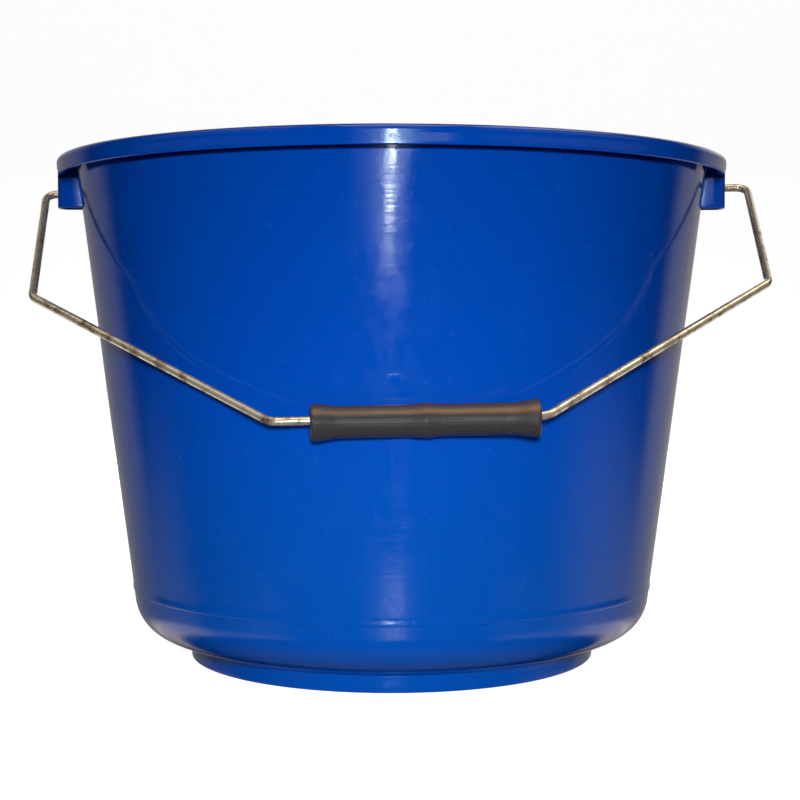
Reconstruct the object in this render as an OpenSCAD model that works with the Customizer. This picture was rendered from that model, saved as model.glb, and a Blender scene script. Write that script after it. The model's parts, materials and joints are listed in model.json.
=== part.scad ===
// Builder's mortar bucket: a tapered moulded tub with a swinging wire bail and a turning grip.
// Frame: +Z up, origin at the centre of the foot ring's resting plane, bail ears on the X axis.
// The bail is drawn at rest, leaning on the front (-Y) of the wall.

/* [Tub] */
// Height from the resting plane to the top of the rim
tub_height = 244.5; // [200:0.5:280]
// Outer radius of the rim
rim_radius = 165; // [164:0.5:168]
// Outer radius of the wall at the rim plane
wall_top_radius = 156; // [154:0.5:157]
// Outer radius of the wall at the top of the parting band
wall_low_radius = 129.8; // [120:0.1:135]
// Thickness of the wall
wall_thickness = 2.2; // [1.6:0.1:2.8]
// Thickness of the floor
floor_thickness = 2.4; // [2:0.1:3]
// Radius of the rounded corner between the wall and the floor
corner_radius = 21; // [16:0.5:24]

/* [Foot ring] */
// Outer radius of the foot ring
foot_radius = 100.9; // [90:0.1:104]
// Height of the foot ring on its outside
foot_height = 8.1; // [6:0.1:10]
// Width of the ring's resting face
foot_width = 2.6; // [2:0.1:4]
// Height of the floor's underside above the resting plane
floor_lift = 6; // [4:0.5:7]

/* [Rim] */
// Height of the rim's turned-down skirt
skirt_height = 8.4; // [6:0.1:10]
// Height of the skirt where it is cut back beside each ear
skirt_height_at_ear = 4.7; // [4:0.1:6]
// Angle from each ear's centre line to the end of the cut-back
skirt_cutback_angle = 16; // [10:1:24]
// Thickness of the skirt
skirt_thickness = 2; // [1.5:0.1:2.5]
// Thickness of the flange
flange_thickness = 2.2; // [2:0.1:2.8]

/* [Bail ears] */
// Distance from the tub's axis to an ear's outer face
ear_reach = 167; // [166:0.5:169]
// Width of an ear
ear_width = 16; // [15.5:0.5:20]
// Height of an ear's lower edge
ear_bottom = 223; // [220:0.5:225]
// Thickness of an ear's walls
ear_wall = 2; // [1.6:0.1:2]
// Diameter of the bail hole in an ear
ear_hole = 7.8; // [7.6:0.1:8]
// Height of the bail holes' centres
ear_hole_z = 231.9; // [231:0.1:232]

/* [Bail] */
// Diameter of the wire
wire_diameter = 3.8; // [3:0.1:4]
// Height of the wire's pivot in the left (-X) ear
pivot_left_z = 230.2; // [230.1:0.1:232]
// Height of the wire's pivot in the right (+X) ear
pivot_right_z = 233.6; // [231.8:0.1:233.7]
// Angle of the resting bail below the horizontal
rest_angle = 35.75; // [30:0.05:35.8]
// Half distance between the legs at the pivots
leg_half = 176.1; // [174:0.1:180]
// Half distance between the shoulder corners
shoulder_half = 169.25; // [165:0.05:172]
// Distance from the pivots to the shoulder corners
shoulder_drop = 88; // [80:0.5:95]
// Half length of the straight that carries the grip
straight_half = 57.35; // [56:0.05:62]
// Distance from the pivots to that straight
straight_drop = 182.6; // [182:0.1:190]
// Angle by which the resting bail hangs askew in its own plane
bail_skew = 1; // [0:0.1:1.5]
// Sideways shift of the resting bail towards +X
bail_shift = 2.7; // [0:0.1:3]

/* [Grip] */
// Length of the grip
grip_length = 95; // [85:1:96]
// Radius of the grip's barrel
grip_barrel = 6.75; // [6.3:0.05:6.8]
// Radius of the ridge at mid length
grip_ridge = 7.5; // [7:0.05:7.5]
// Largest radius of the flared ends
grip_flare = 7.95; // [7.5:0.05:8]
// Diameter of the grip's bore
grip_bore = 6; // [5.8:0.1:7]
// Distance that the grip hangs below the wire
grip_hang = 0.9; // [0:0.1:0.9]
// Distance that the grip has slid along the straight
grip_slide = 7; // [0:0.1:7]

/* [Hidden] */
$fn = 96;

tub_blue = [0, 0.29, 0.68];
zinc_grey = [0.78, 0.76, 0.7];
grip_black = [0.2, 0.19, 0.19];

// Tub: taper, parting band and corner.
band_top = 38.7;
band_height = 3.5;
band_step = 0.35;
taper = (wall_top_radius - wall_low_radius) / (tub_height - band_top);
lean = atan(taper);
underside_slope = 0.32;
underside_angle = atan(underside_slope);
foot_slope = 1;
foot_round = 0.8;
arc_steps = 12;

// Rim and ears.
rim_edge = 1.6;
inner_rim_edge = 1;
skirt_edge = 0.7;
skirt_bottom = tub_height - skirt_height;
flange_underside = tub_height - flange_thickness;
ear_corner = 4;
ear_edge = 0.8;
ear_root_depth = 0.6;
ear_roof_thickness = 1.4;
ear_top = flange_underside + ear_root_depth;
ear_roof = ear_top - ear_roof_thickness;
overlap = 1;

// Bail: bend radii of the wire's centre line and the hooks inside the ears.
leg_bend = 5;
shoulder_bend = 6;
straight_bend = 9;
hook_bend = 3.4;
hook_half = 159.6;
hook_length = 5.3;
pivot_z = (pivot_left_z + pivot_right_z) / 2;
pivot_tilt = atan((pivot_right_z - pivot_left_z) / (2 * ear_reach));

// Grip profile lengths, measured from its middle or its ends.
ridge_half = 7;
flare_length = 9;
flare_lip = 2.2;
flare_power = 1.7;
lip_round = 1.4;
lip_angle = 60;

// Outer radius of the plain conical wall at height z.
function wall_radius(z) = wall_low_radius + taper * (z - band_top);

// Points on an arc about c from angle a0 to angle a1.
function arc(c, r, a0, a1) = [
    for (i = [0:arc_steps])
        let (a = a0 + (a1 - a0) * i / arc_steps)
        c + r * [cos(a), sin(a)]
];

// Centre of a fillet of radius r between the wall and the underside, both moved inwards by inset.
function corner_centre(r, inset) =
    let (
        wall_point = [wall_radius(0), 0],
        wall_normal = [cos(lean), -sin(lean)],
        under_point = [foot_radius, foot_height],
        under_normal = [sin(underside_angle), -cos(underside_angle)],
        a = wall_normal * wall_point - r - inset,
        b = under_normal * under_point - r - inset,
        det = wall_normal[0] * under_normal[1] - wall_normal[1] * under_normal[0]
    )
    [a * under_normal[1] - wall_normal[1] * b, wall_normal[0] * b - a * under_normal[0]] / det;

// Half section of the tub's wall, floor, foot ring and rim.
module tub_section() {
    outer_centre = corner_centre(corner_radius, 0);
    inner_radius = corner_radius - wall_thickness;
    inner_centre = corner_centre(inner_radius, wall_thickness);
    floor_top = floor_lift + floor_thickness;
    inner_top = wall_radius(tub_height) - wall_thickness / cos(lean);
    polygon(concat(
        [[0, floor_lift], [foot_radius - foot_width - foot_slope, floor_lift]],
        arc([foot_radius - foot_width + foot_round, foot_round], foot_round, 180, 270),
        arc([foot_radius - foot_round, foot_round], foot_round, 270, 360),
        [[foot_radius, foot_height]],
        arc(outer_centre, corner_radius, underside_angle - 90, -lean),
        [
            [wall_radius(band_top - band_height), band_top - band_height - band_step / 2],
            [wall_low_radius, band_top - band_height + band_step / 2],
            [wall_low_radius, band_top],
            [wall_radius(flange_underside), flange_underside],
            [rim_radius - skirt_thickness, flange_underside],
            [rim_radius - skirt_thickness, skirt_bottom]
        ],
        arc([rim_radius - skirt_edge, skirt_bottom + skirt_edge], skirt_edge, 270, 360),
        arc([rim_radius - rim_edge, tub_height - rim_edge], rim_edge, 0, 90),
        arc([inner_top + inner_rim_edge, tub_height - inner_rim_edge], inner_rim_edge, 90, 180 - lean),
        arc(inner_centre, inner_radius, -lean, underside_angle - 90),
        [[foot_radius, floor_top], [0, floor_top]]
    ));
}

// Region where the skirt is cut back beside the ear on +X.
module skirt_cutback() {
    cut_top = tub_height - skirt_height_at_ear;
    rotate([0, 0, -skirt_cutback_angle])
        rotate_extrude(angle = 2 * skirt_cutback_angle)
            translate([rim_radius - skirt_thickness - overlap, skirt_bottom - overlap])
                square([skirt_thickness + 2 * overlap, cut_top - skirt_bottom + overlap]);
}

// Upright block on +X with two rounded outer corners, used for an ear and for its hollow.
module ear_block(reach, width, corner, bottom, top) {
    root = wall_radius(ear_bottom) - 2 * wall_thickness;
    translate([0, 0, bottom])
        linear_extrude(top - bottom)
            union() {
                translate([root, -width / 2])
                    square([reach - root - corner, width]);
                translate([root, corner - width / 2])
                    square([reach - root, width - 2 * corner]);
                for (side = [-1, 1])
                    translate([reach - corner, side * (width / 2 - corner)])
                        circle(corner);
            }
}

// Prism along X that rounds an ear's two long lower edges.
module ear_edge_form() {
    translate([wall_radius(0), 0, 0])
        rotate([90, 0, 90])
            linear_extrude(ear_reach)
                union() {
                    translate([-ear_width, ear_bottom + ear_edge])
                        square([2 * ear_width, tub_height]);
                    translate([ear_edge - ear_width / 2, ear_bottom])
                        square([ear_width - 2 * ear_edge, tub_height]);
                    for (side = [-1, 1])
                        translate([side * (ear_width / 2 - ear_edge), ear_bottom + ear_edge])
                            circle(ear_edge);
                }
}

// Hollow inside the ear on +X, open below.
module ear_hollow() {
    ear_block(ear_reach - ear_wall, ear_width - 2 * ear_wall, ear_corner - ear_wall,
        ear_bottom - overlap, ear_roof);
}

// Solid cone through the middle of the wall's thickness: what lies inside it belongs to the wall.
module wall_core() {
    core_inset = wall_thickness / 2;
    translate([0, 0, band_top])
        cylinder(
            h = tub_height - band_top,
            r1 = wall_low_radius - core_inset,
            r2 = wall_top_radius - core_inset
        );
}

// Ear on +X: a hollow box under the flange with the bail hole in its outer face.
module ear() {
    difference() {
        intersection() {
            ear_block(ear_reach, ear_width, ear_corner, ear_bottom, ear_top);
            ear_edge_form();
        }
        ear_hollow();
        wall_core();
        translate([ear_reach - 2 * ear_wall, 0, ear_hole_z])
            rotate([0, 90, 0])
                cylinder(h = 4 * ear_wall, d = ear_hole);
    }
}

// Gap through the skirt on +X, inside the ear.
module skirt_gap() {
    gap_bottom = skirt_bottom - overlap;
    gap_width = ear_width - 2 * overlap;
    translate([rim_radius - 2 * skirt_thickness, -gap_width / 2, gap_bottom])
        cube([3 * skirt_thickness, gap_width, ear_roof - gap_bottom]);
}

// Wall with its rim, less the skirt beside and inside the ears.
module shell() {
    difference() {
        rotate_extrude()
            tub_section();
        for (turn = [0, 180])
            rotate([0, 0, turn]) {
                skirt_cutback();
                skirt_gap();
            }
    }
}

module tub() {
    color(tub_blue)
        union() {
            shell();
            for (turn = [0, 180])
                rotate([0, 0, turn])
                    ear();
        }
}

// A point of the bail's outline after the skew and the sideways shift.
function askew(x, s) =
    [x * cos(bail_skew) + s * sin(bail_skew) + bail_shift, s * cos(bail_skew) - x * sin(bail_skew)];

// Corners of the wire's centre line in the bail's plane: x along the pivots, s away from them.
wire_corners = [
    [-hook_half, -hook_length],
    [-hook_half, 0],
    [-leg_half + bail_shift, 0],
    askew(-shoulder_half, shoulder_drop),
    askew(-straight_half, straight_drop),
    askew(straight_half, straight_drop),
    askew(shoulder_half, shoulder_drop),
    [leg_half + bail_shift, 0],
    [hook_half, 0],
    [hook_half, -hook_length]
];
wire_bends = [0, hook_bend, leg_bend, shoulder_bend, straight_bend, straight_bend,
    shoulder_bend, leg_bend, hook_bend, 0];

// Direction of the span that leaves corner i, and the turn made at corner i.
function span(i) = wire_corners[i + 1] - wire_corners[i];
function heading(i) = atan2(span(i)[1], span(i)[0]);
function wrap(a) = a > 180 ? a - 360 : (a < -180 ? a + 360 : a);
function turn_at(i) = wrap(heading(i) - heading(i - 1));
last_corner = len(wire_corners) - 1;
function trim(i) = (i == 0 || i == last_corner) ? 0 : wire_bends[i] * tan(abs(turn_at(i)) / 2);

// Straight length of wire between the bends at corners i and i + 1.
module wire_run(i) {
    run_length = norm(span(i)) - trim(i) - trim(i + 1);
    translate([wire_corners[i][0], wire_corners[i][1], 0])
        rotate([0, 0, heading(i)])
            translate([trim(i), 0, 0])
                rotate([0, 90, 0])
                    cylinder(h = run_length, d = wire_diameter);
}

// Bend of the wire at corner i.
module wire_bend(i) {
    side = turn_at(i) > 0 ? 1 : -1;
    translate([wire_corners[i][0], wire_corners[i][1], 0])
        rotate([0, 0, heading(i - 1)])
            translate([-trim(i), side * wire_bends[i], 0])
                rotate([0, 0, side > 0 ? -90 : 90 + turn_at(i)])
                    rotate_extrude(angle = abs(turn_at(i)))
                        translate([wire_bends[i], 0])
                            circle(d = wire_diameter);
}

// Moves a shape from the bail's own plane to the bail's resting place.
module at_rest() {
    translate([0, 0, pivot_z])
        rotate([0, -pivot_tilt, 0])
            rotate([180 + rest_angle, 0, 0])
                children();
}

module bail_wire() {
    color(zinc_grey)
        at_rest()
            union() {
                for (i = [0:last_corner - 1])
                    wire_run(i);
                for (i = [1:last_corner - 1])
                    wire_bend(i);
            }
}

// Point i of the flared end as [distance from the grip's middle, radius].
function flare_profile(i) =
    let (t = i / arc_steps)
    [grip_length / 2 - flare_lip - flare_length * (1 - t),
        grip_barrel + (grip_flare - grip_barrel) * pow(t, flare_power)];

// Half outline of the grip as [distance from its middle, radius], from the ridge to one end.
grip_half = concat(
    [[0, grip_ridge], [ridge_half, grip_barrel]],
    [for (i = [0:arc_steps]) flare_profile(i)],
    arc([grip_length / 2 - lip_round, grip_flare - lip_round], lip_round, lip_angle, 0)
);

module grip_section() {
    upper = grip_half;
    lower = [for (i = [len(grip_half) - 1:-1:1]) [-grip_half[i][0], grip_half[i][1]]];
    outline = concat(lower, upper);
    polygon(concat(
        [[grip_bore / 2, grip_length / 2], [grip_bore / 2, -grip_length / 2]],
        [for (p = outline) [p[1], p[0]]]
    ));
}

module grip() {
    on_wire = askew(grip_slide, straight_drop);
    hang = grip_hang * [0, sin(rest_angle), cos(rest_angle)];
    color(grip_black)
        at_rest()
            translate([on_wire[0], on_wire[1], 0] + hang)
                rotate([0, 0, -bail_skew])
                    rotate([0, 90, 0])
                        rotate_extrude()
                            grip_section();
}

tub();
bail_wire();
grip();
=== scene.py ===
"""A builder's bucket: blue moulded tub, bent-wire bail and turning grip, on a plain pale floor.

Lengths are in metres; a value written as `3.8 * MM` is in millimetres. The tub's axis is Z, the ears
are on X, and the bail rests against the front (-Y) of the wall.
"""

import json
import math

import bmesh
import bpy
from mathutils import Matrix, Vector, noise


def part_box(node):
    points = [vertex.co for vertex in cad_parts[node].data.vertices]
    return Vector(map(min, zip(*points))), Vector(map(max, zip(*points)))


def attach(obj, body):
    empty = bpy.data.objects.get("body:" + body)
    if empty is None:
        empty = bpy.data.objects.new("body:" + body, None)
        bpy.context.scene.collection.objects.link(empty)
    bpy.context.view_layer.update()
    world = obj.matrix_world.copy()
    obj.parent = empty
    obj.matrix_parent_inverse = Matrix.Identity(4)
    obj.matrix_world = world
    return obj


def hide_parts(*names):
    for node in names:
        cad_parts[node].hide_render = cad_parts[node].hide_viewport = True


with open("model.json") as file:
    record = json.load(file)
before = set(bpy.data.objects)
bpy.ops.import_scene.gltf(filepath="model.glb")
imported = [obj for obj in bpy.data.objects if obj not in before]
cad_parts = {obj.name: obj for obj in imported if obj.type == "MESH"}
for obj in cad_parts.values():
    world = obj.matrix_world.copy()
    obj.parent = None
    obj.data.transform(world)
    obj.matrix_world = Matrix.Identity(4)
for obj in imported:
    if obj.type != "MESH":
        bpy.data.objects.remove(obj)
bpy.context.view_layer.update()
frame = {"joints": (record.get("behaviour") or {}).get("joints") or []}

MM = 0.001

# ---------------------------------------------------------------- driving dimensions
TUB_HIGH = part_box("tub")[1]
HEIGHT = TUB_HIGH.z
RIM_R = TUB_HIGH.y
EAR_REACH = TUB_HIGH.x
WALL_TOP_R = 156 * MM
WALL_LOW_R = 129.8 * MM
WALL_THICK = 2.2 * MM
BAND_TOP = 38.7 * MM
BAND_TALL = 3.5 * MM
BAND_STEP = 0.35 * MM
CORNER_R = 21 * MM
UNDERSIDE_ANGLE = math.atan(0.32)
FOOT_R = 100.9 * MM
FOOT_TALL = 8.1 * MM
FOOT_WIDE = 2.6 * MM
FLOOR_LIFT = 6 * MM
FLOOR_TOP = 8.4 * MM
FLANGE_THICK = 2.2 * MM
SKIRT_TALL = 8.4 * MM
SKIRT_TALL_AT_EAR = 4.7 * MM
SKIRT_THICK = 2 * MM
SKIRT_ROUND = 0.4 * MM
SKIRT_FACE_DROP = 3 * MM
CUTBACK_ANGLE = math.radians(16)
EAR_WIDE = 16 * MM
EAR_LOW = 223 * MM
EAR_WALL = 2 * MM
EAR_CORNER = 4 * MM
EAR_EDGE = 0.8 * MM
EAR_HOLE_R = 3.9 * MM
EAR_SWELL = 0.3 * MM
EAR_SINK = 0.6 * MM
WELD = 0.004 * MM

SWING = next(j for j in frame["joints"] if j["name"] == "bail_swing")
SPIN = next(j for j in frame["joints"] if j["name"] == "grip_spin")
PIVOT = Vector(SWING["pos_m"])
GRIP_MIDDLE = Vector(SPIN["pos_m"])
WIRE_R = 1.9 * MM

TAPER = (WALL_TOP_R - WALL_LOW_R) / (HEIGHT - BAND_TOP)
LEAN = math.atan(TAPER)


def wall_radius(z):
    """Outer radius of the plain conical wall at height z."""
    return WALL_LOW_R + TAPER * (z - BAND_TOP)


# ---------------------------------------------------------------- mesh helpers
def arc(centre, radius, start, end, steps):
    """Points of an arc in the (r, z) plane. Angles are in degrees."""
    points = []
    for i in range(steps + 1):
        a = math.radians(start + (end - start) * i / steps)
        points.append((centre[0] + radius * math.cos(a), centre[1] + radius * math.sin(a)))
    return points


def line(start, end, steps):
    """Points from start to end, without the start."""
    return [
        (start[0] + (end[0] - start[0]) * i / steps, start[1] + (end[1] - start[1]) * i / steps)
        for i in range(1, steps + 1)
    ]


def smoothstep(low, high, x):
    """0 below low, 1 above high, smooth between them."""
    t = min(1.0, max(0.0, (x - low) / (high - low)))
    return t * t * (3 - 2 * t)


def link(name, bm):
    """Makes an object in the scene from a bmesh."""
    bmesh.ops.recalc_face_normals(bm, faces=bm.faces)
    mesh = bpy.data.meshes.new(name)
    bm.to_mesh(mesh)
    bm.free()
    made = bpy.data.objects.new(name, mesh)
    bpy.context.scene.collection.objects.link(made)
    return made


def loft(name, rings, closed=False):
    """Skin over rings of equal length. Open lofts get a flat cap at each end."""
    bm = bmesh.new()
    rows = [[bm.verts.new(p) for p in ring] for ring in rings]
    count = len(rings[0])
    pairs = list(zip(rows, rows[1:]))
    if closed:
        pairs.append((rows[-1], rows[0]))
    for low, high in pairs:
        for i in range(count):
            k = (i + 1) % count
            bm.faces.new((low[i], low[k], high[k], high[i]))
    if not closed:
        bm.faces.new(rows[0])
        bm.faces.new(rows[-1])
    return link(name, bm)


def smooth(obj, angle):
    """Smooth shading, with edges sharper than the angle, in degrees, kept crisp."""
    obj.data.shade_smooth()
    obj.data.set_sharp_from_angle(angle=math.radians(angle))


def apply_modifiers(obj):
    """Puts the modified mesh in place of the object's own."""
    depsgraph = bpy.context.evaluated_depsgraph_get()
    mesh = bpy.data.meshes.new_from_object(obj.evaluated_get(depsgraph))
    obj.modifiers.clear()
    old = obj.data
    obj.data = mesh
    bpy.data.meshes.remove(old)


def boolean(obj, tool, operation):
    """Joins tool to obj, or cuts it out of obj, and deletes tool."""
    modifier = obj.modifiers.new(operation, "BOOLEAN")
    modifier.object = tool
    modifier.operation = operation
    modifier.solver = "EXACT"
    bpy.context.view_layer.update()
    apply_modifiers(obj)
    bpy.data.objects.remove(tool)
    bm = bmesh.new()
    bm.from_mesh(obj.data)
    bmesh.ops.remove_doubles(bm, verts=bm.verts, dist=WELD)
    bmesh.ops.dissolve_degenerate(bm, edges=bm.edges, dist=WELD)
    bm.to_mesh(obj.data)
    bm.free()


# ---------------------------------------------------------------- tub
def corner_centre(radius, inset):
    """Centre of the round between wall and underside, both moved inwards by inset, as (r, z)."""
    wall_n = (math.cos(LEAN), -math.sin(LEAN))
    under_n = (math.sin(UNDERSIDE_ANGLE), -math.cos(UNDERSIDE_ANGLE))
    a = wall_n[0] * wall_radius(0) - radius - inset
    b = under_n[0] * FOOT_R + under_n[1] * FOOT_TALL - radius - inset
    det = wall_n[0] * under_n[1] - wall_n[1] * under_n[0]
    return ((a * under_n[1] - wall_n[1] * b) / det, (wall_n[0] * b - a * under_n[0]) / det)


def tub_profile():
    """Closed half section of the tub from the middle of its underside to the middle of its floor."""
    lean = math.degrees(LEAN)
    under = math.degrees(UNDERSIDE_ANGLE)
    gate_r, gate_drop = 3.2 * MM, 0.7 * MM
    foot_round, foot_root, rim_round, lip_round = 0.8 * MM, 0.4 * MM, 2.0 * MM, 1.0 * MM
    recess_edge, recess_round = 1.6 * MM, 0.6 * MM
    bead, bead_tall, root_round, skirt_in_round = 0.1 * MM, 0.5 * MM, 1.2 * MM, 0.3 * MM
    face_r = RIM_R - bead
    skirt_low = HEIGHT - SKIRT_TALL
    flange_low = HEIGHT - FLANGE_THICK
    bead_z = HEIGHT - rim_round - bead_tall
    inner_r = CORNER_R - WALL_THICK
    inner_top = wall_radius(HEIGHT) - WALL_THICK / math.cos(LEAN)

    # Underside, gate mark and foot ring.
    gate_low = FLOOR_LIFT - gate_drop
    points = [(0.0, gate_low), (gate_r - gate_drop, gate_low), (gate_r, FLOOR_LIFT)]
    foot_in = FOOT_R - FOOT_WIDE
    points += line(points[-1], (foot_in - recess_edge, FLOOR_LIFT), 12)
    points += arc((foot_in - recess_edge, FLOOR_LIFT - recess_round), recess_round, 90, 20, 4)[1:]
    points += arc((foot_in + foot_round, foot_round), foot_round, 180, 270, 5)
    points += arc((FOOT_R - foot_round, foot_round), foot_round, 270, 360, 5)
    points += line(points[-1], (FOOT_R, FOOT_TALL - foot_root), 3)
    points += arc((FOOT_R + foot_root, FOOT_TALL - foot_root), foot_root, 180, 90 + under, 3)[1:]

    # Corner, parting band, wall and the skirt's inside.
    points += arc(corner_centre(CORNER_R, 0), CORNER_R, under - 90, -lean, 20)
    band_low = BAND_TOP - BAND_TALL
    points += line(points[-1], (wall_radius(band_low), band_low - BAND_STEP / 2), 3)
    points += [(WALL_LOW_R - BAND_STEP / 4, band_low), (WALL_LOW_R, band_low + BAND_STEP / 2)]
    points += line(points[-1], (WALL_LOW_R, BAND_TOP - BAND_STEP / 4), 3)
    points += [(wall_radius(BAND_TOP + BAND_STEP), BAND_TOP + BAND_STEP)]
    root = wall_radius(flange_low)
    points += line(points[-1], (wall_radius(flange_low - root_round), flange_low - root_round), 56)
    points += arc((root + root_round, flange_low - root_round), root_round, 180 - lean, 90, 5)[1:]
    skirt_in = RIM_R - SKIRT_THICK
    points += line(points[-1], (skirt_in - root_round, flange_low), 3)
    points += arc((skirt_in - root_round, flange_low - root_round), root_round, 90, 0, 4)[1:]
    points += [(skirt_in, skirt_low + skirt_in_round)]

    # Skirt, rim and lip.
    skirt_in_centre = (skirt_in + skirt_in_round, skirt_low + skirt_in_round)
    points += arc(skirt_in_centre, skirt_in_round, 180, 270, 3)[1:]
    points += arc((face_r - SKIRT_ROUND, skirt_low + SKIRT_ROUND), SKIRT_ROUND, 270, 360, 6)
    points += line(points[-1], (face_r, bead_z - bead_tall), 4)
    points += [(RIM_R, bead_z), (RIM_R, bead_z + bead_tall / 2)]
    points += arc((face_r - rim_round, HEIGHT - rim_round), rim_round, 0, 90, 9)
    points += line(points[-1], (inner_top + lip_round, HEIGHT), 5)
    points += arc((inner_top + lip_round, HEIGHT - lip_round), lip_round, 90, 180 - lean, 6)[1:]

    # Inside of the wall, corner and floor.
    inner = arc(corner_centre(inner_r, WALL_THICK), inner_r, -lean, under - 90, 16)
    points += line(points[-1], inner[0], 40)
    points += inner[1:]
    points += line(points[-1], (FOOT_R, FLOOR_TOP), 2)
    points += line(points[-1], (FOOT_R * 0.05, FLOOR_TOP), 14)
    points += [(0.0, FLOOR_TOP)]
    return points


def tub_angles():
    """Angles round the tub: every degree, and close pairs where the skirt changes height."""
    close = math.radians(0.15)
    angles = [math.radians(i) for i in range(360)]
    for ear in (0, math.pi):
        for side in (-1, 1):
            angles += [(ear + side * CUTBACK_ANGLE + off) % math.tau for off in (-close, close)]
    return sorted(angles)


def skirt_lift(r, z, angle):
    """How far a point of the skirt is raised where the skirt is cut back beside an ear."""
    skirt_low, face_top = HEIGHT - SKIRT_TALL + SKIRT_ROUND, HEIGHT - SKIRT_FACE_DROP
    tiny = 0.01 * MM
    off = abs((angle + math.pi / 2) % math.pi - math.pi / 2)
    if off > CUTBACK_ANGLE or r < RIM_R - SKIRT_THICK - tiny:
        return 0.0
    share = min(1.0, max(0.0, (face_top - z) / (face_top - skirt_low)))
    return share * (SKIRT_TALL - SKIRT_TALL_AT_EAR)


def moulded(r, z, angle):
    """A point of the tub with the skirt's cut-backs and the slight waviness of a cooled moulding."""
    oval_deep, wave_deep = 0.22 * MM, 0.06 * MM
    wave_fade, wave_end = HEIGHT - 30 * MM, HEIGHT - 6 * MM
    lift = skirt_lift(r, z, angle)
    up = smoothstep(FOOT_TALL, HEIGHT, z)
    oval = oval_deep * (math.cos(2 * angle + 0.9) - 1) * up * up
    wave = wave_deep * (math.sin(3 * angle + 9 * up) + math.sin(7 * angle - 5 * up) - 2)
    wave *= smoothstep(FOOT_TALL, BAND_TOP, z) * (1 - smoothstep(wave_fade, wave_end, z))
    return r + oval * smoothstep(0, FOOT_R, r) + wave * smoothstep(FOOT_R * 0.9, FOOT_R, r), z + lift


def make_tub_body():
    """The turned part of the tub: every point of the section at every angle."""
    profile = tub_profile()
    angles = tub_angles()
    bm = bmesh.new()
    bottom = bm.verts.new((0, 0, profile[0][1]))
    top = bm.verts.new((0, 0, profile[-1][1]))
    columns = []
    for angle in angles:
        column = []
        for r, z in profile[1:-1]:
            mr, mz = moulded(r, z, angle)
            column.append(bm.verts.new((mr * math.cos(angle), mr * math.sin(angle), mz)))
        columns.append(column)
    for column, after in zip(columns, columns[1:] + columns[:1]):
        bm.faces.new((bottom, column[0], after[0]))
        for i in range(len(column) - 1):
            bm.faces.new((column[i], column[i + 1], after[i + 1], after[i]))
        bm.faces.new((column[-1], top, after[-1]))
    return link("tub_body", bm)


def ear_ring(z, low_inset, side):
    """C-shaped plan of an ear at height z, with its long edges drawn in by low_inset."""
    steps = 8
    half_out = EAR_WIDE / 2 - low_inset - EAR_SWELL
    half_in = EAR_WIDE / 2 - EAR_WALL
    root = wall_radius(z) - WALL_THICK / 2

    def root_x(y):
        """How far out the ear meets the wall at this y."""
        return math.sqrt(root * root - y * y)

    def flank(start, end, half, swell):
        """A long side, slightly swollen in its middle."""
        run_x = [start + (end - start) * i / steps for i in range(steps + 1)]
        return [(x, half + swell * math.sin(math.pi * i / steps)) for i, x in enumerate(run_x)]

    def run(reach, half, corner, swell):
        """Out along one side, across the outer face and back along the other side."""
        path = [(x, -y) for x, y in flank(root_x(half), reach - corner, half, swell)]
        path += arc((reach - corner, corner - half), corner, 270, 360, steps)[1:]
        path += line(path[-1], (reach, half - corner), 6)
        path += arc((reach - corner, half - corner), corner, 0, 90, steps)[1:]
        path += flank(reach - corner, root_x(half), half, swell)[1:]
        return path

    outer = run(EAR_REACH, half_out, EAR_CORNER, EAR_SWELL)
    inner = run(EAR_REACH - EAR_WALL, half_in, EAR_CORNER - EAR_WALL, 0.0)
    plan = outer + inner[::-1]
    return [Vector((side * x, side * y, z)) for x, y in plan]


def make_ear(side):
    """One hollow ear, open below, with the bail hole in its outer face. side is +1 or -1."""
    top = HEIGHT - FLANGE_THICK + EAR_SINK
    most_inset = EAR_WALL - 0.4 * MM
    edge_steps = 7
    rings = []
    for i in range(edge_steps):
        a = math.pi / 2 * i / edge_steps
        z = EAR_LOW + EAR_EDGE * (1 - math.cos(a))
        rings.append(ear_ring(z, min(EAR_EDGE * (1 - math.sin(a)), most_inset), side))
    body_steps = 16
    for i in range(body_steps + 1):
        z = EAR_LOW + EAR_EDGE + (top - EAR_LOW - EAR_EDGE) * i / body_steps
        rings.append(ear_ring(z, 0.0, side))
    ear = loft("ear", rings)
    sides = 48
    circle = arc((0, PIVOT.z), EAR_HOLE_R, 0, 360, sides)[:-1]
    ends = EAR_REACH - 2 * EAR_WALL, EAR_REACH + EAR_WALL
    hole = loft("hole_tool", [[Vector((side * x, y, z)) for y, z in circle] for x in ends])
    boolean(ear, hole, "DIFFERENCE")
    return ear


def make_tub():
    """The turned body with both ears joined on."""
    tub = make_tub_body()
    for side in (1, -1):
        boolean(tub, make_ear(side), "UNION")
    smooth(tub, 35)
    tub.name = "tub_moulding"
    return tub


# ---------------------------------------------------------------- bail
REST_ANGLE = math.radians(35.75)
SKEW = math.radians(1)
SHIFT = 2.7 * MM
LEG_HALF = 176.1 * MM
SHOULDER = (169.25 * MM, 88 * MM)
STRAIGHT = (57.35 * MM, 182.6 * MM)
HOOK_HALF = 159.6 * MM
HOOK_LONG = 5.3 * MM
HOOK_BEND, LEG_BEND, SHOULDER_BEND, STRAIGHT_BEND = 3.4 * MM, 5 * MM, 6 * MM, 9 * MM


def bail_frame():
    """Matrix from the bail's own plane (x along the pivots, y away from them) to the resting bail."""
    along = -Vector(SWING["axis"]).normalized()
    tilt = math.atan2(along.z, along.x)
    lean_down = Matrix.Rotation(math.pi + REST_ANGLE, 4, "X")
    return Matrix.Translation(PIVOT) @ Matrix.Rotation(-tilt, 4, "Y") @ lean_down


def askew(x, s):
    """A point of the bail's outline after it has hung askew and shifted sideways."""
    return (
        x * math.cos(SKEW) + s * math.sin(SKEW) + SHIFT,
        s * math.cos(SKEW) - x * math.sin(SKEW),
    )


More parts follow.
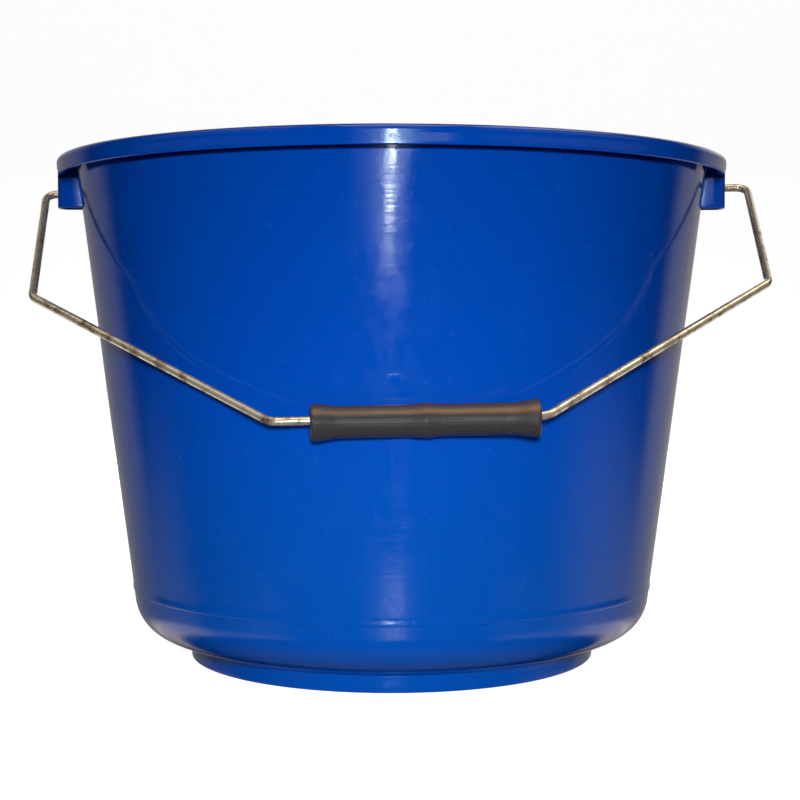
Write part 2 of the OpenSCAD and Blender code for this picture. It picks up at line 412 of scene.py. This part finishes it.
def bail_corners():
    """Corners of the wire's centre line and the bend radius at each."""
    return [
        ((-HOOK_HALF, -HOOK_LONG), 0),
        ((-HOOK_HALF, 0), HOOK_BEND),
        ((-LEG_HALF + SHIFT, 0), LEG_BEND),
        (askew(-SHOULDER[0], SHOULDER[1]), SHOULDER_BEND),
        (askew(-STRAIGHT[0], STRAIGHT[1]), STRAIGHT_BEND),
        (askew(STRAIGHT[0], STRAIGHT[1]), STRAIGHT_BEND),
        (askew(SHOULDER[0], SHOULDER[1]), SHOULDER_BEND),
        ((LEG_HALF + SHIFT, 0), LEG_BEND),
        ((HOOK_HALF, 0), HOOK_BEND),
        ((HOOK_HALF, -HOOK_LONG), 0),
    ]


def bail_stations():
    """Points along the wire as (position, direction, bend share), all in the bail's plane."""
    corners = [(Vector(p), r) for p, r in bail_corners()]
    step = 2 * MM
    bend_steps = 12
    stations = []
    last = corners[0][0]
    for i in range(1, len(corners)):
        here, radius = corners[i]
        heading = (here - corners[i - 1][0]).normalized()
        leave = here
        if radius:
            onward = (corners[i + 1][0] - here).normalized()
            turn = heading.angle_signed(onward)
            trim = radius * math.tan(abs(turn) / 2)
            leave = here - heading * trim
        count = max(2, round((leave - last).length / step))
        for k in range(count):
            stations.append((last.lerp(leave, k / count), heading, 0.0))
        last = leave
        if radius:
            side = -1 if turn > 0 else 1
            normal = Vector((-heading.y, heading.x)) * side
            centre = leave + normal * radius
            for k in range(bend_steps):
                a = abs(turn) * k / bend_steps * side
                spoke = Matrix.Rotation(a, 2) @ (-normal)
                share = math.sin(math.pi * k / bend_steps)
                stations.append((centre + spoke * radius, Matrix.Rotation(a, 2) @ heading, share))
            last = here + onward * trim
    stations.append((last, heading, 0.0))
    return stations


def make_bail():
    """Wire swept along its bends: slightly uneven, a little flat at each bend, cut ends rounded."""
    sides = 32
    uneven = 0.006
    flatten, widen = 0.05, 0.02
    place = bail_frame()
    stations = bail_stations()
    rings = []

    def ring(point, direction, radius, share, seed):
        """The wire's outline across its direction, with share of the flattening of a bend."""
        across = Vector((-direction.y, direction.x))
        verts = []
        for k in range(sides):
            a = math.tau * k / sides
            wobble = 1 + uneven * noise.noise(Vector((seed * 0.9, math.cos(a), math.sin(a))))
            u = radius * wobble * (1 - flatten * share) * math.cos(a)
            v = radius * wobble * (1 + widen * share) * math.sin(a)
            flat = point + across * u
            verts.append(place @ Vector((flat.x, flat.y, v)))
        return verts

    chamfer = 0.5 * MM
    first, last = stations[0], stations[-1]
    rings.append(ring(first[0], first[1], WIRE_R - chamfer, 0, 0))
    for i, (point, direction, share) in enumerate(stations):
        if i == 0:
            point = point + direction * chamfer
        if i == len(stations) - 1:
            point = point - direction * chamfer
        rings.append(ring(point, direction, WIRE_R, share, i))
    rings.append(ring(last[0], last[1], WIRE_R - chamfer, 0, len(stations)))
    bail = loft("bail", rings)
    smooth(bail, 40)
    return bail


# ---------------------------------------------------------------- grip
GRIP_LONG = 95 * MM
GRIP_BARREL = 6.75 * MM
GRIP_RIDGE = 7.5 * MM
GRIP_FLARE = 7.95 * MM
GRIP_BORE = 3 * MM
GRIP_RIDGE_HALF = 7 * MM
GRIP_FLARE_FROM, GRIP_FLARE_TO = 13 * MM, 1.5 * MM
GRIP_RIDGE_POWER, GRIP_FLARE_POWER = 1.25, 1.3


def grip_radius(x):
    """Radius of the moulded grip at distance x from its middle."""
    half = GRIP_LONG / 2
    near_middle = max(0.0, 1 - abs(x) / GRIP_RIDGE_HALF)
    near_end = smoothstep(half - GRIP_FLARE_FROM, half - GRIP_FLARE_TO, abs(x))
    ridge = (GRIP_RIDGE - GRIP_BARREL) * near_middle ** GRIP_RIDGE_POWER
    flare = (GRIP_FLARE - GRIP_BARREL) * near_end ** GRIP_FLARE_POWER
    return GRIP_BARREL + ridge + flare


def make_grip():
    """Moulded grip with a ridge at mid length, flared ends, two fine parting lines and a bore."""
    along = Vector(SPIN["axis"]).normalized()
    turn = Vector((1, 0, 0)).rotation_difference(along).to_matrix().to_4x4()
    place = Matrix.Translation(GRIP_MIDDLE) @ turn
    half = GRIP_LONG / 2
    lip, mouth = 1.3 * MM, 0.5 * MM
    outline = []
    steps = 72
    for i in range(steps + 1):
        x = -(half - lip) + 2 * (half - lip) * i / steps
        outline.append((x, grip_radius(x)))
    end_r = grip_radius(half - lip)
    right = [(half - lip + p[0], end_r - lip + p[1]) for p in arc((0, 0), lip, 90, 0, 6)[1:]]
    right += [(half, (end_r + GRIP_BORE) / 2)]
    right += [(half, GRIP_BORE + mouth), (half - mouth, GRIP_BORE)]
    bore_steps = 12
    bore_step = (GRIP_LONG - 2 * mouth) / bore_steps
    bore = [(half - mouth - bore_step * i, GRIP_BORE) for i in range(1, bore_steps)]
    left = [(-x, r) for x, r in reversed(right)]
    section = outline + right + bore + left

    seam_half, seam_tall = math.radians(2.5), 0.09 * MM
    mottle_deep, mottle_along, mottle_round = 0.035 * MM, 160, 1.5
    skin = GRIP_BORE + 2 * MM
    sides = 96
    angles = sorted(
        [math.tau * k / sides for k in range(sides)]
        + [(seam + s * seam_half) % math.tau for seam in (0, math.pi) for s in (-0.5, 0.5)]
    )
    rings = []
    for a in angles:
        off = abs((a + math.pi / 2) % math.pi - math.pi / 2)
        ring = []
        for x, r in section:
            extra = 0.0
            if r > skin:
                extra = seam_tall * (1 - smoothstep(seam_half * 0.55, seam_half, off))
                around = (math.cos(a) * mottle_round, math.sin(a) * mottle_round)
                extra += mottle_deep * noise.noise(Vector((x * mottle_along, *around)))
            ring.append(place @ Vector((x, (r + extra) * math.cos(a), (r + extra) * math.sin(a))))
        rings.append(ring)
    grip = loft("grip_moulding", rings, closed=True)
    smooth(grip, 38)
    return grip


# ---------------------------------------------------------------- materials
def nodes_of(name):
    """A new node material: returns the material, its Tree and its principled shader."""
    material = bpy.data.materials.new(name)
    material.use_nodes = True
    tree = material.node_tree
    return material, Tree(tree), tree.nodes["Principled BSDF"]


def settle(node, **values):
    """Fixed values for a node's inputs, named with _ for a space."""
    for key, value in values.items():
        node.inputs[key.replace("_", " ")].default_value = value


class Tree:
    """Short calls for the nodes that the materials use."""

    def __init__(self, tree):
        self.tree = tree

    def node(self, kind, **values):
        """A new node, with values for its properties."""
        made = self.tree.nodes.new(kind)
        for key, value in values.items():
            setattr(made, key, value)
        return made

    def join(self, source, target):
        self.tree.links.new(source, target)

    def place(self, scale=(1, 1, 1)):
        """Object coordinates, stretched by scale."""
        coordinates = self.node("ShaderNodeTexCoord")
        mapping = self.node("ShaderNodeMapping")
        mapping.inputs["Scale"].default_value = scale
        self.join(coordinates.outputs["Object"], mapping.inputs["Vector"])
        return mapping.outputs["Vector"]

    def axes(self):
        """Object coordinates as three separate values."""
        made = self.node("ShaderNodeSeparateXYZ")
        self.join(self.place(), made.inputs["Vector"])
        return made.outputs

    def noise(self, vector, scale, detail, rough=0.5):
        """Cloudy noise, 0 to 1. The scale is in cycles per metre."""
        made = self.node("ShaderNodeTexNoise")
        settle(made, Scale=scale, Detail=detail, Roughness=rough)
        self.join(vector, made.inputs["Vector"])
        return made.outputs["Fac"]

    def cells(self, vector, scale, feature):
        """Distance to the nearest cell centre (F1) or cell border (DISTANCE_TO_EDGE)."""
        made = self.node("ShaderNodeTexVoronoi", feature=feature)
        settle(made, Scale=scale)
        self.join(vector, made.inputs["Vector"])
        return made.outputs["Distance"]

    def spread(self, value, low, high, to_low=0.0, to_high=1.0):
        """Maps low..high to to_low..to_high and holds the ends."""
        made = self.node("ShaderNodeMapRange")
        self.join(value, made.inputs["Value"])
        settle(made, From_Min=low, From_Max=high, To_Min=to_low, To_Max=to_high)
        return made.outputs["Result"]

    def rise(self, value, low, high):
        """0 below low, 1 above high, smooth between them."""
        made = self.node("ShaderNodeMapRange", interpolation_type="SMOOTHSTEP")
        self.join(value, made.inputs["Value"])
        settle(made, From_Min=low, From_Max=high)
        return made.outputs["Result"]

    def window(self, value, start, full, fade, end):
        """1 from full to fade, 0 before start and after end."""
        return self.times(self.rise(value, start, full), self.inverse(self.rise(value, fade, end)))

    def math(self, operation, a, b=0.0):
        """A calculation with two values, each a number or a socket."""
        made = self.node("ShaderNodeMath", operation=operation)
        for value, socket in ((a, made.inputs[0]), (b, made.inputs[1])):
            if isinstance(value, (int, float)):
                socket.default_value = value
            else:
                self.join(value, socket)
        return made.outputs["Value"]

    def times(self, a, b):
        return self.math("MULTIPLY", a, b)

    def plus(self, a, b):
        return self.math("ADD", a, b)

    def inverse(self, value):
        """1 minus a value."""
        return self.math("SUBTRACT", 1.0, value)

    def mix(self, factor, a, b):
        """Colour between a and b, each a colour or a socket."""
        made = self.node("ShaderNodeMix", data_type="RGBA")
        self.join(factor, made.inputs["Factor"])
        for value, socket in ((a, made.inputs[6]), (b, made.inputs[7])):
            if isinstance(value, tuple):
                socket.default_value = (*value, 1)
            else:
                self.join(value, socket)
        return made.outputs[2]

    def bump(self, height, distance, strength, normal=None):
        """A surface normal tilted by the slopes of height."""
        made = self.node("ShaderNodeBump")
        settle(made, Distance=distance, Strength=strength)
        self.join(height, made.inputs["Height"])
        if normal is not None:
            self.join(normal, made.inputs["Normal"])
        return made.outputs["Normal"]


# Colours as linear red, green and blue.
TUB_BLUE = (0.0, 0.056, 0.415)
TUB_BLUE_STREAK = (0.0, 0.066, 0.455)
# Painted bounce light: the lower wall's greener blue.
TUB_BLUE_BOUNCE_LIT = (0.001, 0.075, 0.42)
TUB_WORN = (0.13, 0.25, 0.6)
# Painted shade: dark navy for the groove under the rim and the ears' tops.
PAINTED_SHADE_NAVY = (0.002, 0.01, 0.11)
ZINC = (0.66, 0.58, 0.45)
ZINC_STAIN = (0.17, 0.115, 0.07)
# Painted reflection: the wire's colour when it is seen in a reflection.
ZINC_PAINTED_REFLECTION = (0.03, 0.045, 0.1)
GRIP_GREY = (0.029, 0.026, 0.027)
GRIP_GREY_PALE = (0.042, 0.038, 0.040)
GRIP_BROWN_TOP = (0.085, 0.052, 0.028)

# Where the painted shade sits: start, full, fade and end, by distance from the axis or by height.
GROOVE_ACROSS = (153.6 * MM, 154.2 * MM, 162.2 * MM, 162.8 * MM)
GROOVE_UP = (235.0 * MM, 235.7 * MM, 242.4 * MM, 242.9 * MM)
EAR_UNDER_RIM = (239.0 * MM, 239.8 * MM, 242.4 * MM, 242.9 * MM)
EAR_LINE = (237.4 * MM, 238.4 * MM, 239.3 * MM, 239.8 * MM)
GROOVE_TO_EAR = (110 * MM, 146 * MM)
EAR_FROM = (153 * MM, 155 * MM)
EAR_SIDE = (9 * MM, 9.5 * MM)
# Heights over which the painted bounce light fades in towards the bottom.
BOUNCE_TINT_HEIGHTS = (50 * MM, 150 * MM)


def painted_shade_where(t, x, y, z):
    """Where shade is painted on the tub: the groove between wall and skirt, and the top of each ear under
    the rim.
    """
    r = t.math("SQRT", t.plus(t.times(x, x), t.times(y, y)))
    off_x, off_y = t.math("ABSOLUTE", x), t.math("ABSOLUTE", y)
    groove = t.times(t.window(r, *GROOVE_ACROSS), t.window(z, *GROOVE_UP))
    groove = t.times(groove, t.inverse(t.rise(off_x, *GROOVE_TO_EAR)))
    under_rim = t.times(t.window(z, *EAR_UNDER_RIM), t.inverse(t.rise(r, *GROOVE_ACROSS[2:])))
    under_rim = t.math("MAXIMUM", under_rim, t.window(z, *EAR_LINE))
    ear = t.times(t.rise(off_x, *EAR_FROM), t.inverse(t.rise(off_y, *EAR_SIDE)))
    return t.math("MAXIMUM", groove, t.times(ear, under_rim))


def tub_material():
    """Glossy blue polypropylene: faint flow streaks, polishing rings, scratches and dust, a greener lower
    wall painted for the floor's bounce light, and painted shade in the groove under the rim and on the
    ears' tops.
    """
    material, t, shader = nodes_of("tub_plastic")
    hair_line = t.spread(t.cells(t.place((1, 1, 0.6)), 22, "DISTANCE_TO_EDGE"), 0.0, 0.006, 1.0, 0.0)
    hair_patch = t.spread(t.noise(t.place(), 60, 2), 0.6, 0.74)
    scratch = t.times(hair_line, hair_patch)
    speck = t.spread(t.cells(t.place(), 190, "F1"), 0.0, 0.16, 1.0, 0.0)
    speck_patch = t.spread(t.noise(t.place(), 40, 2), 0.6, 0.72)
    dust = t.times(speck, speck_patch)
    x, y, z = t.axes()
    painted_shade = painted_shade_where(t, x, y, z)

    flow = t.noise(t.place((1, 1, 0.25)), 14, 3)
    blue = t.mix(flow, TUB_BLUE, TUB_BLUE_STREAK)
    # Painted bounce light: the wall turns greener towards the bottom, standing in for the floor's bounce
    # light.
    blue = t.mix(t.spread(z, *BOUNCE_TINT_HEIGHTS, 1.0, 0.0), blue, TUB_BLUE_BOUNCE_LIT)
    worn = t.times(t.math("MAXIMUM", scratch, dust), 0.15)
    blue = t.mix(worn, blue, TUB_WORN)
    # Painted shade: dark navy in the groove under the rim and on top of the ears, where the coat's
    # reflection is dimmed too.
    t.join(t.mix(painted_shade, blue, PAINTED_SHADE_NAVY), shader.inputs["Base Color"])
    settle(shader, Roughness=0.3, Specular_IOR_Level=0.0, Coat_IOR=1.49)
    t.join(t.spread(painted_shade, 0, 1, 1, 0.15), shader.inputs["Coat Weight"])

    # The gloss varies in clouds and in fine dull spots, and the scratches are duller still.
    clouds = t.spread(t.noise(t.place((1, 1, 0.6)), 130, 4, 0.65), 0.42, 0.7, 0.06, 0.19)
    spots = t.spread(t.noise(t.place(), 900, 2, 0.6), 0.57, 0.7, 0, 0.18)
    t.join(t.plus(t.plus(clouds, spots), t.times(scratch, 0.2)), shader.inputs["Coat Roughness"])

    rings = t.noise(t.place((6, 6, 420)), 1, 3, 0.6)
    peel = t.noise(t.place(), 260, 2)
    normal = t.bump(rings, 0.03 * MM, 0.6)
    normal = t.bump(peel, 0.03 * MM, 0.5, normal)
    normal = t.bump(t.math("SUBTRACT", dust, scratch), 0.05 * MM, 0.6, normal)
    t.join(normal, shader.inputs["Normal"])
    t.join(normal, shader.inputs["Coat Normal"])
    return material


def wire_material():
    """Zinc-plated drawn wire: yellowed, faintly rough, with dull brown stains; its reflection is painted
    dark.
    """
    material, t, shader = nodes_of("zinc_wire")
    stain = t.spread(t.noise(t.place(), 150, 5, 0.65), 0.5, 0.66)
    fine = t.noise(t.place(), 900, 3, 0.6)
    colour = t.mix(stain, ZINC, ZINC_STAIN)
    # Painted reflection: seen in a reflection, the wire is coloured dark navy, so the wall mirrors it only
    # faintly.
    painted_reflection_share = t.times(t.node("ShaderNodeLightPath").outputs["Is Glossy Ray"], 0.75)
    t.join(t.mix(painted_reflection_share, colour, ZINC_PAINTED_REFLECTION), shader.inputs["Base Color"])
    settle(shader, Metallic=0.7)
    t.join(t.spread(stain, 0, 1, 0.24, 0.45), shader.inputs["Roughness"])
    t.join(t.bump(fine, 0.02 * MM, 0.3), shader.inputs["Normal"])
    return material


def grip_material():
    """Dark grey moulded plastic, satin and faintly mottled, with a brown band along its upper side."""
    material, t, shader = nodes_of("grip_plastic")
    mottle = t.noise(t.place(), 420, 3, 0.6)
    cloud = t.noise(t.place(), 90, 3)
    # The upper side is coloured brown from a little above the grip's middle height.
    band_from, band_full = GRIP_MIDDLE.z + 2.2 * MM, GRIP_MIDDLE.z + 4.2 * MM
    upper_band = t.rise(t.axes()["Z"], band_from, band_full)
    grey = t.mix(cloud, GRIP_GREY, GRIP_GREY_PALE)
    t.join(t.mix(upper_band, grey, GRIP_BROWN_TOP), shader.inputs["Base Color"])
    t.join(t.spread(mottle, 0.3, 0.7, 0.26, 0.38), shader.inputs["Roughness"])
    settle(shader, IOR=1.5)
    t.join(t.bump(mottle, 0.06 * MM, 0.6), shader.inputs["Normal"])
    return material


# ---------------------------------------------------------------- stage, lights and camera
PAPER, PAPER_GRAIN = (0.40, 0.40, 0.40), (0.43, 0.43, 0.43)
PAPER_SEEN_LEVEL = 0.95


def make_sweep():
    """Plain pale floor that curves up into a backdrop behind the bucket."""
    half_wide, front, back, bend, tall = 6.0, -5.0, 3.2, 1.2, 5.0
    bend_steps = 16
    outline = [(front, 0.0), (0.0, 0.0), (back - bend, 0.0)]
    for i in range(1, bend_steps + 1):
        a = math.pi / 2 * i / bend_steps
        outline.append((back - bend + bend * math.sin(a), bend - bend * math.cos(a)))
    outline.append((back, tall))
    bm = bmesh.new()
    rows = [[bm.verts.new((x, y, z)) for x in (-half_wide, half_wide)] for y, z in outline]
    for low, high in zip(rows, rows[1:]):
        bm.faces.new((low[0], low[1], high[1], high[0]))
    sweep = link("sweep", bm)
    for face in sweep.data.polygons:
        face.use_smooth = True
    material, t, shader = nodes_of("sweep_paper")
    grain = t.noise(t.place(), 300, 2)
    t.join(t.mix(grain, PAPER, PAPER_GRAIN), shader.inputs["Base Color"])
    settle(shader, Roughness=1.0, Specular_IOR_Level=0.0, Emission_Color=(1, 1, 1, 1))
    seen = t.node("ShaderNodeLightPath").outputs["Is Camera Ray"]
    t.join(t.times(seen, PAPER_SEEN_LEVEL), shader.inputs["Emission Strength"])
    sweep.data.materials.append(material)
    sweep.visible_glossy = False


# Azimuth from -Y towards +X and elevation in degrees; distance, width and height in metres; colour; watts.
LAMPS = {
    "key": (0.8, 7.2, 0.9, 0.07, 0.07, (1, 1, 1), 4.9),
    "fill_high": (10, 55, 2.4, 2.0, 2.0, (1, 0.99, 0.97), 0.6),
    "back_high": (180, 40, 2.6, 1.2, 1.2, (1, 1, 1), 12),
    "key_back": (180, 12, 1.5, 0.6, 0.6, (1, 1, 1), 9),
    "inside": (0, 90, 1.1, 0.1, 0.1, (1, 1, 1), 0.2),
}
INSIDE_SPREAD = math.radians(17)
# The key lamp's rays to the foot and to the rim: the Z of each direction, and the strength there.
KEY_REACH, KEY_STRENGTH = (-0.148, -0.01), (1.38, 0.8)


def area_light(name, azimuth, elevation, distance, wide, tall, colour, power):
    """A soft rectangular lamp aimed at the bucket's middle."""
    target = Vector((0, 0, HEIGHT / 2))
    a, e = math.radians(azimuth), math.radians(elevation)
    away = Vector((math.sin(a) * math.cos(e), -math.cos(a) * math.cos(e), math.sin(e)))
    data = bpy.data.lights.new(name, "AREA")
    data.shape = "RECTANGLE"
    data.size = wide
    data.size_y = tall
    data.energy = power
    data.color = colour
    lamp = bpy.data.objects.new(name, data)
    bpy.context.scene.collection.objects.link(lamp)
    lamp.location = target + away * distance
    lamp.rotation_mode = "QUATERNION"
    lamp.rotation_quaternion = away.to_track_quat("Z", "Y")
    lamp.visible_glossy = False
    lamp.visible_camera = False
    return lamp


# What a glossy surface mirrors, as patches of light in the distance. Azimuth is from -Y towards +X and
# elevation is above the floor, in degrees; each has a start, a full, a fade and an end. Then colour and
# level. A lamp patch leans with LAMP_TILT below LAMP_TILT_FROM. A strip patch is placed by its angle off
# the YZ plane and by its turn in that plane from -Y.
PATCHES = [
    ("lamp", (-1.9, -0.8, 0.8, 1.9), (-10.7, -8.3, 7, 9), (0.9, 1, 0.93), 44),
    ("lamp_foot", (-4.5, -1.5, 1.5, 4.5), (-13.6, -11, -9.5, -8.5), (1, 1, 1), 1),
    ("lamp_top", (-4.5, -2.5, 3.5, 12), (-8.6, -7, 9, 12), (0.66, 1, 0.85), 2.8),
    ("lamp_glow", (-9, -5, 4, 7.5), (-12.4, -9, 9, 12), (0.85, 1, 0.9), 1.3),
    ("lamp_haze", (-15, -9, 2, 9), (-10.7, -9.7, 9, 12), (0.8, 1, 1), 0.5),
    ("window", (7.8, 9.5, 17, 20), (2, 4, 10, 11), (1, 1, 1), 1.1),
    ("floor_glow", (-7, -1, 3, 8), (-31, -26, -24, -21.8), (1, 1, 1), 1.5),
    ("floor_haze", (-15, -6, 6, 15), (-31, -26, -24, -21.8), (1, 1, 1), 0.35),
    ("table_left", (-181, -180, -112, -88), (-26, -24, -17, -8), (1, 0.96, 0.95), 0.26),
    ("table_right", (62, 98, 180, 181), (-26, -24, -17, -8), (1, 0.96, 0.93), 0.38),
    ("table_low_left", (-155, -130, -62, -38), (-36, -31, -28, -20.5), (1, 0.93, 0.85), 0.5),
    ("table_low_right", (38, 62, 130, 155), (-36, -31, -28, -20.5), (1, 0.93, 0.85), 0.5),
    ("table_edge_left", (-165, -150, -105, -85), (-38, -31, -24, -17), (1, 0.88, 0.76), 0.8),
    ("table_edge_right", (85, 105, 150, 165), (-38, -31, -24, -17), (1, 0.88, 0.76), 0.8),
    ("back_left", (-181, -180, -130, -117), (-16, -8, 8, 16), (1, 0.95, 0.93), 0.29),
    ("back_right", (118, 131, 180, 181), (-16, -8, 8, 16), (1, 0.95, 0.9), 0.4),
    ("back_high_left", (-181, -180, -150, -110), (6, 16, 50, 60), (1, 0.97, 0.94), 0.6),
    ("back_high_right", (110, 150, 180, 181), (6, 16, 50, 60), (1, 0.97, 0.94), 1.5),
    ("side_left", (-100, -80, -50, -20), (0, 15, 30, 42), (1, 0.76, 0.5), 0.22),
    ("side_right", (20, 50, 80, 100), (0, 15, 30, 42), (1, 0.8, 0.55), 0.45),
    ("upper_left", (-120, -95, -50, -30), (38, 50, 66, 76), (1, 0.9, 0.76), 1.1),
    ("upper_right", (30, 50, 95, 120), (38, 50, 66, 76), (1, 0.95, 0.84), 3.4),
    ("strip", (-16, -9, 9, 16), (44, 54, 86, 92), (1, 0.8, 0.58), 3.4),
    ("strip_low", (-14, -6, 6, 14), (8, 20, 34, 46), (0.9, 0.92, 1), 0.3),
    ("below", (-181, -180, 180, 181), (-91, -90, -62, -40), (1, 0.93, 0.84), 0.12),
]
LAMP_TILT, LAMP_TILT_FROM = 0.38, -8.0
DIFFUSE_LEVEL = 0.03


def make_world():
    """White to the camera, a dim even fill for matt surfaces, and the patches for glossy ones."""
    world = bpy.data.worlds.new("studio")
    bpy.context.scene.world = world
    world.use_nodes = True
    world.cycles.sampling_method = "NONE"
    t = Tree(world.node_tree)
    direction = t.node("ShaderNodeSeparateXYZ")
    t.join(t.node("ShaderNodeTexCoord").outputs["Generated"], direction.inputs["Vector"])
    x, y, z = direction.outputs
    front = t.times(y, -1.0)
    degree = 180 / math.pi
    elevation = t.times(t.math("ARCSINE", z), degree)
    azimuth = t.times(t.math("ARCTAN2", x, front), degree)
    low = t.math("MINIMUM", t.plus(elevation, -LAMP_TILT_FROM), 0.0)
    tilted = t.math("SUBTRACT", azimuth, t.times(low, LAMP_TILT))
    side = t.times(t.math("ARCSINE", x), degree)
    roll = t.times(t.math("ARCTAN2", z, front), degree)
    placed_by = {"lamp": (tilted, elevation), "strip": (side, roll)}
    total = None
    for name, across, up, colour, level in PATCHES:
        turned, raised = placed_by.get(name.split("_")[0], (azimuth, elevation))
        share = t.times(t.window(turned, *across), t.window(raised, *up))
        scaled = t.node("ShaderNodeVectorMath", operation="SCALE")
        scaled.inputs[0].default_value = [c * level for c in colour]
        t.join(share, scaled.inputs["Scale"])
        if total is None:
            total = scaled.outputs["Vector"]
        else:
            added = t.node("ShaderNodeVectorMath", operation="ADD")
            t.join(total, added.inputs[0])
            t.join(scaled.outputs["Vector"], added.inputs[1])
            total = added.outputs["Vector"]
    path = t.node("ShaderNodeLightPath")
    flat = t.mix(path.outputs["Is Diffuse Ray"], (1, 1, 1), (DIFFUSE_LEVEL,) * 3)
    seen = t.mix(path.outputs["Is Glossy Ray"], flat, total)
    t.join(seen, world.node_tree.nodes["Background"].inputs["Color"])


def dim_upwards(lamp):
    """Makes a lamp weaker towards the rim than towards the floor, as a low-set softbox is."""
    lamp.data.use_nodes = True
    t = Tree(lamp.data.node_tree)
    direction = t.node("ShaderNodeSeparateXYZ")
    t.join(t.node("ShaderNodeNewGeometry").outputs["Incoming"], direction.inputs["Vector"])
    strength = t.spread(direction.outputs["Z"], *KEY_REACH, *KEY_STRENGTH)
    t.join(strength, lamp.data.node_tree.nodes["Emission"].inputs["Strength"])


def make_lights():
    """The world and the lamps."""
    make_world()
    lamps = {name: area_light(name, *values) for name, values in LAMPS.items()}
    dim_upwards(lamps["key"])
    lamps["inside"].data.spread = INSIDE_SPREAD


CAMERA_SPOT = (0, -800.75 * MM, 160.54 * MM)
CAMERA_DOWN, CAMERA_RIGHT = math.radians(2.418), math.radians(0.2966)
CAMERA_SENSOR, CAMERA_LENS = 36, 71.27


def make_camera():
    """Camera low in front of the bucket, a little above its middle."""
    data = bpy.data.cameras.new("camera")
    data.sensor_width = CAMERA_SENSOR
    data.lens = CAMERA_LENS
    camera = bpy.data.objects.new("camera", data)
    bpy.context.scene.collection.objects.link(camera)
    camera.location = CAMERA_SPOT
    camera.rotation_euler = (math.pi / 2 - CAMERA_DOWN, 0, -CAMERA_RIGHT)
    bpy.context.scene.camera = camera


# ---------------------------------------------------------------- assembly
def show(piece, body, node, material):
    """Gives a piece its finish, puts it on its body and lets it stand for its CAD node."""
    piece.data.materials.clear()
    piece.data.materials.append(material)
    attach(piece, body)
    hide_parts(node)


show(make_tub(), "tub", "tub", tub_material())
show(make_bail(), "bail", "bail_wire", wire_material())
show(make_grip(), "grip", "grip", grip_material())
make_sweep()
make_lights()
make_camera()
bpy.context.scene.view_settings.view_transform = "Standard"
bpy.context.scene.cycles.use_denoising = True
